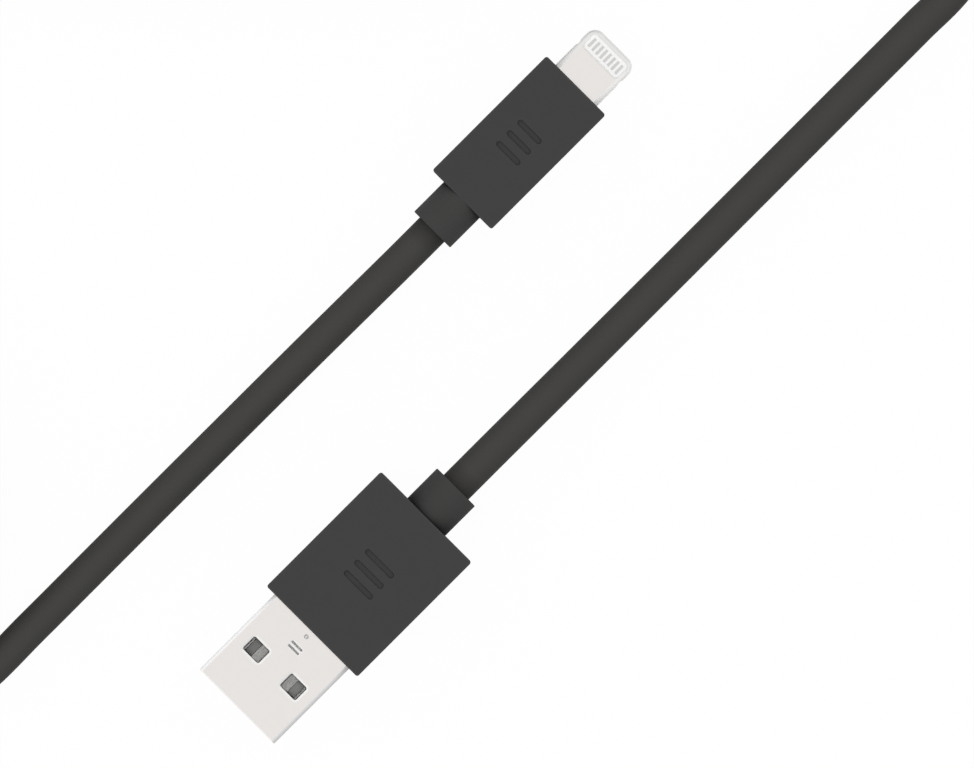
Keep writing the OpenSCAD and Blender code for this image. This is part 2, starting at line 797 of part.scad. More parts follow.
module device_wire_black() {
    device_wire(3);
}

// The bare copper of each wire lies on its pad at the back of the board
module device_wire_copper() {
    color(copper_colour) at_device()
        for (y = pad_y)
            translate([0, y, device_copper_z]) rod(board_back - fit, board_back + copper_length, copper_d);
}

module device_braid_end() {
    color(steel_colour) at_device() braid_end(device_shield_back);
}

module device_jacket_end() {
    color(jacket_colour) at_device() jacket_end();
}

// ---- Free cable ----

device_exit = [device_x, device_y, device_axis_height] + collar_end * heading(along_device);
host_exit = [0, 0, host_axis_height] + collar_end * heading(along_host);

module cable_device_run() {
    color(jacket_colour)
        tube(concat([device_exit, device_exit - lead_out * heading(along_device)], on_table(DEVICE_ROUTE)),
            cable_d);
}

module cable_host_run() {
    color(jacket_colour)
        tube(concat([host_exit, host_exit - lead_out * heading(along_host)], on_table(HOST_ROUTE)),
            cable_d);
}

// The wound turns, as one closed ring of their outer shape
module cable_coil() {
    color(jacket_colour) translate([coil_middle[0], coil_middle[1], 0]) rotate_extrude($fn = 96)
        translate([(coil_inner + coil_outer) / 2, cable_d * coil_layers / 2])
            rounded_rectangle(coil_outer - coil_inner, cable_d * coil_layers, cable_d / 2);
}

host_shell();
host_insulator();
host_contact_power();
host_contact_data_minus();
host_contact_data_plus();
host_contact_ground();
host_shield_upper();
host_shield_lower();
host_inner_mould();
host_housing();
host_strain_relief();
host_wire_red();
host_wire_white();
host_wire_green();
host_wire_black();
host_wire_copper();
host_braid_end();
host_jacket_end();
device_blade();
device_contact_carrier();
device_contacts_upper();
device_contacts_lower();
device_board();
device_controller_chip();
device_power_chip();
device_capacitors();
device_shield_upper();
device_shield_lower();
device_inner_mould();
device_housing();
device_strain_relief();
device_wire_red();
device_wire_white();
device_wire_green();
device_wire_black();
device_wire_copper();
device_braid_end();
device_jacket_end();
cable_device_run();
cable_coil();
cable_host_run();
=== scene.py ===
# %% [markdown]
# # A charging cable, dressed for its portrait
#
# The frame holds every solid of the cable at its real size: two plugs with all that is inside them, and
# the cable between them. This lesson gives each visible piece its soft edges and its finish, lays the
# cable as one smooth curve, and lights it like an object on a white studio table.

# %% Load the frame
import json
import math

import bmesh
import bpy
from mathutils import Matrix, Vector


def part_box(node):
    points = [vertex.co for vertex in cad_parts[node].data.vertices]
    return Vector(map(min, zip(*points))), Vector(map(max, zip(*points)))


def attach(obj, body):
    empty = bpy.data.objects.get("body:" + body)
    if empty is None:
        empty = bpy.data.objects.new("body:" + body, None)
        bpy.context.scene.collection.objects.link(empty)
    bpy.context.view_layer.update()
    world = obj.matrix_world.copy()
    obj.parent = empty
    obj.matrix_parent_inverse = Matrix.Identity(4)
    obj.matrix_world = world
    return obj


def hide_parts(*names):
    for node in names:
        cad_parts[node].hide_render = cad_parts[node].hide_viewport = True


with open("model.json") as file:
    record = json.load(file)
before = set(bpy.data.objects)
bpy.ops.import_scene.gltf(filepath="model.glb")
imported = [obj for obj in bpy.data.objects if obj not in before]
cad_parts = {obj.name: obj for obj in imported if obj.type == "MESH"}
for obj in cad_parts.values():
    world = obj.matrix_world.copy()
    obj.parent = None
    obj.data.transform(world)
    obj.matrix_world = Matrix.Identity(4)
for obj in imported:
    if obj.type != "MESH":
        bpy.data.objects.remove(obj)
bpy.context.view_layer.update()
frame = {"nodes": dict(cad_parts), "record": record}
MM = 0.001

# %% [markdown]
# ## Where the plugs are
#
# Both plugs lie parallel to one diagonal of the table and point opposite ways. It is easiest to model a
# plug straight, along its own X axis with its metal end forward, and to turn it into place at the end.
# Each place is worked out from the plug's housing in the frame, so that nothing is measured twice.

# %% The two plugs' own axes
def plug_place(housing, heading):
    low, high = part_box(housing)
    return Matrix.Translation((low + high) / 2) @ Matrix.Rotation(math.radians(heading), 4, "Z")


HOST = plug_place("host_housing", heading=225)
DEVICE = plug_place("device_housing", heading=45)
print("host plug at", HOST.translation / MM, "device plug at", DEVICE.translation / MM)

# %% [markdown]
# ## The camera
#
# The cable is seen from straight above with hardly any perspective, as a scanner would see it. A very
# long lens from nearly three metres does that. An orthographic camera would too, but a long lens can
# also be moved round the object without any other setting. Two values settle the view: how many pixels
# a millimetre takes up, and the pixel that the middle of the host plug's housing falls on.

# %% Camera
PICTURE_WIDTH, PICTURE_HEIGHT = 974, 768
PIXELS_PER_MM = 8.783
HOST_PLUG_PIXEL = (369.12, 574.18)
SENSOR = 36
CAMERA_HEIGHT = 2800
LEVEL_IN_FOCUS = 5

view_width = PICTURE_WIDTH / PIXELS_PER_MM
middle_x = (PICTURE_WIDTH / 2 - HOST_PLUG_PIXEL[0]) / PIXELS_PER_MM
middle_y = (HOST_PLUG_PIXEL[1] - PICTURE_HEIGHT / 2) / PIXELS_PER_MM
camera = bpy.data.objects.new("camera", bpy.data.cameras.new("camera"))
camera.data.sensor_width = SENSOR
camera.data.lens = SENSOR * CAMERA_HEIGHT / view_width
camera.location = Vector((middle_x, middle_y, CAMERA_HEIGHT + LEVEL_IN_FOCUS)) * MM
bpy.context.scene.collection.objects.link(camera)
bpy.context.scene.camera = camera
print("lens", round(camera.data.lens), "mm, over", [round(middle_x, 2), round(middle_y, 2)])

# %% [markdown]
# ## The route of the cable
#
# The real cable is one metre of round cord, neither limp nor stiff. What lies near the plugs is
# straight. The rest goes round behind the plugs, and the spare length is wound into a small flat coil:
# two turns beside each other, and two more on top of them. The straight and curved runs are listed
# points, the same as the ones the solids were swept along. The coil is worked out turn by turn,
# because it follows a rule.

# %% Points, in millimetres: place on the table, and height of the middle of the cable
CABLE = 4.0
ON_TABLE = CABLE / 2
LEAD_OUT = 5
DEVICE_ROUTE = [
    (0.06, 32.2, 2.8), (-4.22, 27.99, 2.5), (-9.91, 22.37, 2.1), (-17, 15.32, 2), (-24.09, 8.26, 2),
    (-31.16, 1.19, 2), (-38.23, -5.88, 2), (-44.8, -12.3, 2), (-52.3, -17.6, 2), (-61, -20, 2),
    (-70.5, -19.5, 2), (-79.5, -16, 2), (-86.5, -10, 2), (-91.5, -1.5, 2),
]
HOST_ROUTE = [
    (16.98, 16.96, 3.7), (21.95, 21.89, 3.1), (28.33, 28.24, 2.3), (35.41, 35.3, 2),
    (42.13, 42.02, 2), (49.2, 49.09, 2), (56.27, 56.16, 2), (62.28, 62.17, 2), (67.1, 67.1, 2),
    (70.5, 72.5, 2), (72, 79, 2), (71, 85, 2), (67.5, 90, 2), (62.5, 93.5, 2), (56, 94.5, 2),
    (48, 94, 2), (40, 91, 2), (33, 86, 2), (26, 79.5, 2), (19, 73.5, 2), (10, 69.5, 2), (0, 68, 2),
    (-10, 68, 2), (-20, 68, 2), (-32, 68, 2), (-44, 68, 2), (-56, 68, 2), (-68, 68, 2),
    (-78.5, 67, 2), (-86, 62.5, 2), (-91.5, 55, 2), (-93.5, 46, 2), (-93.5, 37, 2.2),
    (-93.5, 29, 3.2), (-93.5, 21, 4.8), (-93.5, 14, 5.8),
]
print(len(DEVICE_ROUTE), "and", len(HOST_ROUTE), "points")

# %% [markdown]
# A coil is a spiral. Going in, each turn lies one diameter inside the last; at the inner turn the cable
# climbs onto its own first layer and winds out again, and it leaves the top layer heading the way it
# came in. Sixteen points a turn are enough, because the curve between them is smooth.

# %% The coil's turns
COIL_CENTRE = (-68, 9)
OUTER_TURN, INNER_TURN = 25.5, 17.5
TURNS_IN_A_LAYER = 2
POINTS_A_TURN = 16
CLIMB_STARTS, CLIMB_ENDS = 1.92, 2.08


def coil_point(turns):
    """The cable's middle after so many turns from where it enters, on the left, going clockwise."""
    inwards = 1 - abs(turns / TURNS_IN_A_LAYER - 1)
    radius = OUTER_TURN + (INNER_TURN - OUTER_TURN) * inwards
    angle = math.pi - 2 * math.pi * turns
    climbed = min(1, max(0, (turns - CLIMB_STARTS) / (CLIMB_ENDS - CLIMB_STARTS)))
    return (COIL_CENTRE[0] + radius * math.cos(angle), COIL_CENTRE[1] + radius * math.sin(angle),
            ON_TABLE + CABLE * climbed)


steps = 2 * TURNS_IN_A_LAYER * POINTS_A_TURN
coil = [coil_point(k / POINTS_A_TURN) for k in range(steps + 1)]
print("the coil has", len(coil), "points and ends at", [round(x, 1) for x in coil[-1]])

# %% [markdown]
# The whole route runs from the host plug to the device plug. It starts and ends in the mouth of a
# collar, and goes straight on from there for a little more than a diameter. A Bezier curve with
# automatic handles passes through all the points and bends evenly between them, and its bevel gives it
# its thickness.

# %% One curve for the whole cable
SMOOTHNESS = 8


def exit_of(place, collar):
    """The middle of a collar's free end, and the point behind it where the cable starts to drop."""
    inverse = place.inverted()
    back = min((inverse @ vertex.co).x for vertex in frame["nodes"][collar].data.vertices)
    return place @ Vector((back, 0, 0)), place @ Vector((back - LEAD_OUT * MM, 0, 0))


host_exit, host_lead = exit_of(HOST, "host_strain_relief")
device_exit, device_lead = exit_of(DEVICE, "device_strain_relief")
between = [Vector(point) * MM for point in HOST_ROUTE + coil[::-1] + DEVICE_ROUTE[::-1]]
route = [host_exit, host_lead] + between + [device_lead, device_exit]

line = bpy.data.curves.new("cable", "CURVE")
line.dimensions = "3D"
line.resolution_u = line.bevel_resolution = SMOOTHNESS
line.bevel_depth = CABLE / 2 * MM
line.use_fill_caps = True
spline = line.splines.new("BEZIER")
spline.bezier_points.add(len(route) - 1)
for bezier, point in zip(spline.bezier_points, route):
    bezier.co = point
    bezier.handle_left_type = bezier.handle_right_type = "AUTO"
cable = bpy.data.objects.new("cable", line)
bpy.context.scene.collection.objects.link(cable)
cable_length = sum((b - a).length for a, b in zip(route, route[1:]))
print("straight from point to point the cable is", round(cable_length, 3), "m long")

# %% [markdown]
# ## Writing a finish as sums
#
# A finish is a graph of nodes, and a long graph is hard to read. Here an output of a node is wrapped in
# a small class with the usual operators, so that `1 - mask * 0.3` adds its own Math nodes. Colours and
# vectors are more than one number, so they go through Mix, Mapping and Vector Math nodes, which are
# made by the same method as every other node.

# %% A wire that can be added and multiplied
class Wire:
    """One output of a shader node. Sums with numbers and other wires add Math nodes."""

    def __init__(self, finish, socket):
        self.finish, self.socket = finish, socket

    def math(self, operation, *values):
        return self.finish.node("Math", {"operation": operation}, dict(enumerate(values)))

    def __add__(self, other):
        return self.math("ADD", self, other)

    def __sub__(self, other):
        return self.math("SUBTRACT", self, other)

    def __rsub__(self, other):
        return self.math("SUBTRACT", other, self)

    def __mul__(self, other):
        return self.math("MULTIPLY", self, other)

    def clamped(self):
        """The same wire, held between 0 and 1."""
        return self.finish.node("Clamp", {}, {"Value": self})

    __radd__, __rmul__ = __add__, __mul__


# %% A finish that makes its own nodes
COLOUR_A, COLOUR_B, MIXED_COLOUR = 6, 7, 2


class Finish:
    """The node tree of a material or of the world."""

    def __init__(self, tree):
        self.tree = tree
        tree.nodes.clear()

    def node(self, kind, settings, sockets, output=0):
        """Adds a node. Settings come first, then values or wires by socket name or number."""
        made = self.tree.nodes.new("ShaderNode" + kind)
        for name, value in settings.items():
            if name == "stops":
                for element, (position, grey) in zip(made.color_ramp.elements, value):
                    element.position, element.color = position, (grey, grey, grey, 1)
            else:
                setattr(made, name, value)
        for name, value in sockets.items():
            if isinstance(value, Wire):
                self.tree.links.new(value.socket, made.inputs[name])
            else:
                made.inputs[name].default_value = value
        return Wire(self, made.outputs[output]) if made.outputs else made

    def blend(self, factor, colour_a, colour_b):
        """A mix of two colours: the first where the factor is 0, the second where it is 1."""
        colours = [c if isinstance(c, Wire) else (*c, 1) for c in (colour_a, colour_b)]
        sockets = {"Factor": factor, COLOUR_A: colours[0], COLOUR_B: colours[1]}
        return self.node("Mix", {"data_type": "RGBA"}, sockets, MIXED_COLOUR)


print("helpers for finishes are ready")

# %% [markdown]
# Nearly every finish needs a soft noise whose grain is given in millimetres, and the metals in sight
# also need a grain drawn out along the plugs. The plugs lie on the diagonal, so the drawn-out grain is
# turned by 45 degrees. Edges that were rounded in the mesh carry a mask named `worn`, which is one
# where fingers and sockets rub first.

# %% Noises at real sizes
DIAGONAL = math.radians(45)


class Surface(Finish):
    """A material whose grains are given in millimetres."""

    def __init__(self, name):
        self.material = bpy.data.materials.new(name)
        self.material.use_nodes = True
        super().__init__(self.material.node_tree)
        self.place = self.node("TexCoord", {}, {}, "Object")

    def mapped(self, scale, turn=0.0):
        return self.node("Mapping", {"vector_type": "TEXTURE"},
                         {"Vector": self.place, "Rotation": (0, 0, turn),
                          "Scale": [MM * size for size in scale]})

    def noise(self, grain, detail=2.0, roughness=0.5):
        """Soft noise whose blotches are about this many millimetres across."""
        return self.node("TexNoise", {}, {"Vector": self.mapped((grain,) * 3), "Scale": 1.0,
                                          "Detail": detail, "Roughness": roughness})

    def flecks(self, grain, low, high):
        """Sparse flecks: 0 where such a noise is below low, 1 where it is above high."""
        return self.node("ValToRGB", {"stops": [(low, 0.0), (high, 1.0)]}, {"Fac": self.noise(grain, 1.0)})

    def drawn_grain(self, length, width):
        """Noise drawn out along the plugs, as rolling or polishing leaves it."""
        return self.node("TexNoise", {}, {"Vector": self.mapped((length, width, width), DIAGONAL),
                                          "Scale": 1.0, "Detail": 3.0})

    def mask(self, name):
        """A mask from 0 to 1 that was written on the mesh. Where there is none, it is 0."""
        return self.node("Attribute", {"attribute_name": name}, {}, "Fac")

    def bump(self, height, strength, distance):
        """Bumps up to so many millimetres high."""
        return self.node("Bump", {}, {"Height": height, "Strength": strength, "Distance": distance * MM})

    def finish(self, **sockets):
        """Ends the material in one Principled shader. Underscores in names stand for spaces."""
        named = {name.replace("_", " "): value for name, value in sockets.items()}
        shader = self.node("BsdfPrincipled", {}, named)
        self.node("OutputMaterial", {}, {"Surface": shader})
        print("finish:", self.material.name, "with", len(self.tree.nodes), "nodes")
        return self.material


# %% [markdown]
# ### Nickel
#
# The shell of the host plug and the blade of the device plug are nickel-plated: a pale, slightly warm
# metal with a satin surface. Rolled sheet is never quite even, so the colour drifts a little between
# warm and cool, very fine lines run along the plug, and the roughness follows them. Punched, rolled and
# bent edges have been tumbled: they are more satin, and a haze of fine scratches scatters part of the
# light as a matt surface would, so they mirror the dark cable only as a soft grey. They are also painted
# paler than the faces, which is partly their wear and partly a painted highlight. Along one side of each
# piece the edges are painted darker, as painted shade. The shell has two more marks, which the blade's
# mesh doesn't carry: its bend on the brighter side is a painted highlight, pale and matt all over, and
# the walls of its windows nearest the bends are painted dark, as painted shade.

# %% Nickel plate
WARM_NICKEL, COOL_NICKEL = (0.850, 0.806, 0.780), (0.824, 0.806, 0.784)
# The darkest colour is the painted shade of the shell's window walls
CLOUDED_NICKEL, WALL_SHADE_PAINT = (0.66, 0.63, 0.61), (0.05, 0.05, 0.05)


def nickel(name, edge, painted_side_shade, edge_roughness, edge_metal):
    """The first colour is for worn edges, paler from wear and painted highlight, the second is a painted
    shade, and edge_metal says how much of a worn edge still mirrors.
    """
    surface = Surface(name)
    drift = surface.noise(4.0, 1.0)
    cloud = surface.noise(1.1, 3.0)
    lines = surface.drawn_grain(3.0, 0.05)
    worn, painted_highlight = surface.mask("worn"), surface.mask("painted_highlight")
    colour = surface.blend(drift, WARM_NICKEL, COOL_NICKEL)
    colour = surface.blend(cloud * 0.10, colour, CLOUDED_NICKEL)
    # Worn edges are painted paler: partly wear, partly painted highlight, and the highlit bend fully so
    colour = surface.blend(worn * (0.8 + painted_highlight * 0.2), colour, edge)
    # Painted shade on the edges of one side, and on the blade's window rim
    colour = surface.blend(surface.mask("painted_shade"), colour, painted_side_shade)
    # Painted shade on the shell's window walls
    colour = surface.blend(surface.mask("painted_wall_shade") * 0.6, colour, WALL_SHADE_PAINT)
    matt = worn * (1 - (1 - painted_highlight) * edge_metal)
    return surface.finish(Base_Color=colour, Metallic=1 - matt,
                          Roughness=0.10 + lines * 0.05 + cloud * 0.04 + worn * edge_roughness,
                          Normal=surface.bump(lines, 0.10, 0.003))


# Edge colours are paler from wear and painted highlight; the second colours are painted shade
shell_nickel = nickel("nickel_shell", edge=(0.98, 0.98, 0.98), painted_side_shade=(0.60, 0.60, 0.60),
                      edge_roughness=0.42, edge_metal=0.4)
blade_nickel = nickel("nickel_blade", edge=(0.96, 0.96, 0.95), painted_side_shade=(0.70, 0.70, 0.69),
                      edge_roughness=0.30, edge_metal=0.5)

# %% [markdown]
# ### Contact plating
#
# The contacts are plated too, but greyer, with faint wiping marks where each one has slid in its
# socket. The marks are a noise that is stretched along the plug, and they make the colour and the gloss
# uneven. The host plug's pins are painted much darker than the device plug's pads: that is painted shade
# for pins that lie deep in the mouth, and the power pin's painted shade is a little lighter than the
# other three's.

# %% Contacts
def contact_metal(name, dark, pale):
    surface = Surface(name)
    wiped = surface.drawn_grain(2.0, 0.12)
    spots = surface.noise(0.25, 3.0)
    return surface.finish(Base_Color=surface.blend(wiped, dark, pale), Metallic=1.0,
                          Roughness=0.20 + wiped * 0.16 + spots * 0.08,
                          Normal=surface.bump(spots, 0.1, 0.004))


pad_plating = contact_metal("contact_plating", (0.60, 0.60, 0.59), (0.72, 0.71, 0.70))
# The pins' colours are painted shade, and the power pin's is a lighter painted shade
pin_painted_shade = contact_metal("pin_painted_shade", (0.17, 0.17, 0.168), (0.22, 0.22, 0.216))
power_pin_painted_shade = contact_metal("power_pin_painted_shade", (0.20, 0.20, 0.197), (0.26, 0.26, 0.256))

# %% [markdown]
# ### White plastic
#
# The insert that holds the device contacts, and the host plug's tongue, are white engineering plastic.
# It is almost smooth, with a low gloss, a trace of the tool's grain, and a little light that goes into
# the surface and comes out softer, which a small subsurface weight gives.

# %% White plastic
surface = Surface("white_insulator")
milky = surface.noise(0.9)
grain = surface.noise(0.07)
white_plastic = surface.finish(
    Base_Color=surface.blend(milky, (0.985, 0.985, 0.975), (0.96, 0.96, 0.945)),
    Roughness=0.38 + grain * 0.12, IOR=1.5,
    Subsurface_Weight=0.15, Subsurface_Radius=(0.0001, 0.00009, 0.00008),
    Normal=surface.bump(grain, 0.15, 0.006))

# %% [markdown]
# ### Dark moulded plastic
#
# Both housings and collars are moulded in charcoal plastic. The tool that moulds them is spark-eroded,
# which leaves a fine random pebble of a few hundredths of a millimetre. It scatters light, so the
# surface is matt and even. Five layers make the finish: the pebble as bump, a faint cloudiness of the
# pigment, a few paler flecks, edges that have been rubbed a little smoother, and painted shade in the
# corner between collar and housing, which turns the plastic nearly black there. The collars are softer
# than the housings, with a broader grain.

# %% Housings and collars
FLECK, RUBBED, CORNER_SHADE_PAINT = (0.16, 0.16, 0.16), (0.10, 0.10, 0.10), (0.0, 0.0, 0.0)


def moulded(name, dark, pale, pebble, roughness):
    """dark and pale are the pigment's two shades, and pebble is the size of the grain."""
    surface = Surface(name)
    grit = surface.noise(pebble, 3.0, 0.6)
    pigment = surface.noise(2.5)
    flecks = surface.flecks(0.12, 0.62, 0.78)
    worn = surface.mask("worn")
    colour = surface.blend(pigment, dark, pale)
    colour = surface.blend(flecks * 0.05, colour, FLECK)
    colour = surface.blend(worn * 0.10, colour, RUBBED)
    # Painted shade in the corner between collar and housing
    colour = surface.blend(surface.mask("corner") * 0.95, colour, CORNER_SHADE_PAINT)
    return surface.finish(Base_Color=colour, Roughness=roughness + grit * 0.16 - worn * 0.10,
                          IOR=1.45, Specular_IOR_Level=0.12, Normal=surface.bump(grit, 0.35, 0.012))


housing_plastic = moulded("dark_housing", (0.049, 0.049, 0.049), (0.053, 0.053, 0.053),
                          pebble=0.05, roughness=0.58)
collar_plastic = moulded("dark_collar", (0.048, 0.048, 0.047), (0.053, 0.053, 0.052),
                         pebble=0.08, roughness=0.62)

# %% [markdown]
# ### The jacket
#
# The cable's jacket is extruded from a soft, slightly warm charcoal elastomer. It leaves the die
# smooth, so its bump is shallower than the housings' and its highlights are broad. Handling leaves soft
# patches where it is a little glossier. Dust is finer than any grain here, and it shows only as a few
# pale specks. The flanks are painted darker than the top, as painted shade. In the last millimetres
# before a collar's mouth the jacket is painted darker still: painted shade from the collar.

# %% Jacket of the cable
DUST, FLANK_SHADE_PAINT, COLLAR_SHADE_PAINT = (0.20, 0.20, 0.19), (0.0, 0.0, 0.0), (0.004, 0.004, 0.004)
REACH = 3.2 * MM

surface = Surface("cable_jacket")
skin = surface.noise(0.16, 4.0, 0.6)
handled = surface.noise(9.0)
dust = surface.flecks(0.2, 0.70, 0.82)
normal = surface.node("NewGeometry", {}, {}, "Normal")
upwards = surface.node("SeparateXYZ", {}, {0: normal}, "Z").clamped()
colour = surface.blend(handled, (0.054, 0.0525, 0.049), (0.058, 0.0565, 0.053))
colour = surface.blend(dust * 0.05, colour, DUST)
# Painted shade on the flanks
colour = surface.blend((1 - upwards) * 0.45, colour, FLANK_SHADE_PAINT)
# Painted shade on the jacket next to each collar's mouth
for mouth in (host_exit, device_exit):
    apart = {0: surface.place, 1: mouth}
    from_mouth = surface.node("VectorMath", {"operation": "DISTANCE"}, apart, "Value")
    sheltered = ((REACH - from_mouth) * (1 / (REACH - CABLE / 2 * MM))).clamped()
    colour = surface.blend(sheltered * 0.3, colour, COLLAR_SHADE_PAINT)
jacket = surface.finish(
    Base_Color=colour, Roughness=0.56 + handled * 0.12 + skin * 0.06, IOR=1.45, Specular_IOR_Level=0.12,
    Normal=surface.bump(skin, 0.25, 0.012))
line.materials.append(jacket)

# %% [markdown]
# ### What is inside
#
# The pieces inside the plugs can't be seen until a plug is cut open, but they are there, and they get
# honest finishes too. Plain sheet, solder mask, ceramic, resin and copper differ mainly in colour,
# grain and gloss, so one function with a few numbers serves them all.

# %% Finishes for the inner pieces
# Dark and pale colour, sizes of the blotches and of the grain in millimetres, roughness, and 1 for a metal
INNER = {
    "shield_steel": ((0.44, 0.46, 0.47), (0.52, 0.53, 0.54), 1.5, 0.05, 0.22, 1),
    "inner_mould": ((0.64, 0.61, 0.52), (0.72, 0.69, 0.60), 2.0, 0.10, 0.35, 0),
    "braid": ((0.40, 0.40, 0.39), (0.52, 0.52, 0.50), 0.4, 0.08, 0.30, 1),
    "copper": ((0.55, 0.22, 0.09), (0.66, 0.30, 0.14), 0.5, 0.06, 0.25, 1),
    "wire_red": ((0.42, 0.020, 0.012), (0.48, 0.028, 0.018), 1.2, 0.08, 0.35, 0),
    "wire_white": ((0.78, 0.78, 0.75), (0.84, 0.84, 0.81), 1.2, 0.08, 0.35, 0),
    "wire_green": ((0.026, 0.25, 0.075), (0.034, 0.30, 0.09), 1.2, 0.08, 0.35, 0),
    "wire_black": ((0.013, 0.013, 0.013), (0.020, 0.020, 0.020), 1.2, 0.08, 0.35, 0),
    "circuit_board": ((0.012, 0.13, 0.052), (0.018, 0.17, 0.07), 0.7, 0.09, 0.28, 0),
    "chip_resin": ((0.016, 0.017, 0.019), (0.026, 0.027, 0.029), 0.5, 0.05, 0.45, 0),
    "capacitor_ceramic": ((0.42, 0.29, 0.13), (0.50, 0.36, 0.18), 0.3, 0.04, 0.40, 0),
}


def inner(name, dark, pale, blotch, grain_size, roughness, metallic):
    surface = Surface(name)
    patches = surface.noise(blotch, 3.0)
    grain = surface.noise(grain_size)
    return surface.finish(Base_Color=surface.blend(patches, dark, pale), Metallic=metallic,
                          Roughness=roughness + grain * 0.15, Normal=surface.bump(grain, 0.2, 0.006))


FINISHES = {name: inner(name, *numbers) for name, numbers in INNER.items()}

# %% [markdown]
# Every solid has a slot in the frame's record, and the slot says which finish it gets. Many solids are
# replaced by softer pieces further on, which ask for the same slots.

# %% Every solid of the frame gets the finish of its slot
FINISHES.update({
    "nickel_shell": shell_nickel, "nickel_blade": blade_nickel, "contact_plating": pad_plating,
    "white_insulator": white_plastic, "dark_housing": housing_plastic, "dark_collar": collar_plastic,
    "cable_jacket": jacket,
})
for part in frame["record"]["subparts"]:
    materials = frame["nodes"][part["node"]].data.materials
    materials.clear()
    materials.append(FINISHES[part["material_slot"]])

# %% [markdown]
# ## Soft-edged pieces from rings
#
# Nearly every piece of a plug is a rounded rectangle pulled along one axis: the housing is one pulled
# upwards, the shell is one pulled along the plug. So one helper gives the outline, and another joins a
# stack of outlines into a closed skin. Shrinking the first and last outlines along a quarter circle
# rounds the edges, which is what catches the light on a real moulding.

# %% Outlines
CORNER_STEPS = 8
EDGE_STEPS = 5
CIRCLE_STEPS = 64
TIGHTEST = 0.005
QUARTER = [math.pi / 2 * k / EDGE_STEPS for k in range(EDGE_STEPS + 1)]


def outline(a, b, radius, grow=0.0):
    """Points round a rectangle of sides a and b with round corners, all pushed outwards by grow."""
    radius = max(radius + grow, TIGHTEST)
    half_a, half_b = a / 2 + grow - radius, b / 2 + grow - radius
    points = []
    for quarter, (side_a, side_b) in enumerate(((1, 1), (-1, 1), (-1, -1), (1, -1))):
        for k in range(CORNER_STEPS + 1):
            angle = math.pi / 2 * (quarter + k / CORNER_STEPS)
            points.append((side_a * half_a + radius * math.cos(angle),
                           side_b * half_b + radius * math.sin(angle)))
    return points


def circle(radius):
    steps = [2 * math.pi * k / CIRCLE_STEPS for k in range(CIRCLE_STEPS)]
    return [(radius * math.cos(a), radius * math.sin(a)) for a in steps]


def rounded_start(low, edge):
    """Pairs of level and growth that round the first end of a pulled outline."""
    return [(low + edge * (1 - math.cos(a)), -edge * (1 - math.sin(a))) for a in QUARTER]


def soft_levels(low, high, edge_low, edge_high):
    """The same for both ends: a rounded end is a rounded start turned round."""
    end = [(-level, grow) for level, grow in rounded_start(-high, edge_high)]
    return rounded_start(low, edge_low) + end[::-1]


def upright(points, level, at=(0, 0)):
    """An outline lying flat in the plug's own frame, at a height."""
    return [(at[0] + x, at[1] + y, level) for x, y in points]


def across(points, station, at=(0, 0)):
    """An outline standing across the plug, at a place along it."""
    return [(station, at[0] + y, at[1] + z) for y, z in points]


print("an outline has", len(outline(2, 1, 0.2)), "points")

# %% [markdown]
# The skin is made with bmesh: one ring of corners for each outline, and a quad between each pair of
# neighbours. A solid gets a cap at both ends. A tube's last ring joins its first instead, so that it
# has an outside, an inside and two thin rims. Pieces are made in millimetres and seated in metres last
# of all, because cutting works best on numbers near one.

# %% From rings to a piece
WELD = 1e-5


def piece_from(name, made):
    """Turns a finished bmesh into a piece of the scene."""
    mesh = bpy.data.meshes.new(name)
    made.to_mesh(mesh)
    made.free()
    piece = bpy.data.objects.new(name, mesh)
    bpy.context.scene.collection.objects.link(piece)
    return piece


def loft(name, rings, tube=False):
    """A closed skin through rings of the same number of points."""
    made = bmesh.new()
    corners = [[made.verts.new(point) for point in ring] for ring in rings]
    pairs = list(zip(corners, corners[1:]))
    if tube:
        pairs.append((corners[-1], corners[0]))
    for a, b in pairs:
        for k in range(len(a)):
            following = (k + 1) % len(a)
            made.faces.new((a[k], a[following], b[following], b[k]))
    if not tube:
        made.faces.new(reversed(corners[0]))
        made.faces.new(corners[-1])
    bmesh.ops.remove_doubles(made, verts=made.verts, dist=WELD)
    bmesh.ops.recalc_face_normals(made, faces=made.faces)
    return piece_from(name, made)


def slab(name, a, b, radius, low, high, edge=0.0, at=(0, 0)):
    """A flat piece: a rounded rectangle pulled upwards, with rounded long edges."""
    levels = soft_levels(low, high, edge, edge)
    return loft(name, [upright(outline(a, b, radius, grow), level, at) for level, grow in levels])


def bar(name, width, height, radius, back, front, edge_back=0.0, edge_front=0.0, at=(0, 0)):
    """A long piece: a rounded rectangle pulled along the plug, with rounded ends."""
    levels = soft_levels(back, front, edge_back, edge_front)
    return loft(name, [across(outline(width, height, radius, grow), station, at)
                       for station, grow in levels])


# %% [markdown]
# A hole is cut, and two skins are joined, with a Boolean modifier. The exact solver is slower than the
# fast one, but it copes with faces that only just meet. A cutter reaches beyond what it cuts, by a
# millimetre unless something else settles how far. The result goes into the mesh at once, so that the
# masks can be written on its final faces.

# %% Joining and cutting
BEYOND = 1


def settle(piece):
    """Turns a piece's modifiers into its mesh."""
    graph = bpy.context.evaluated_depsgraph_get()
    mesh = bpy.data.meshes.new_from_object(piece.evaluated_get(graph))
    piece.modifiers.clear()
    piece.data = mesh


def combine(piece, others, operation="DIFFERENCE"):
    """Cuts other pieces out of a piece, or joins them to it, and uses them up."""
    for other in others:
        modifier = piece.modifiers.new(operation.lower(), "BOOLEAN")
        modifier.operation, modifier.solver, modifier.object = operation, "EXACT", other
    bpy.context.view_layer.update()
    settle(piece)
    for other in others:
        bpy.data.objects.remove(other)


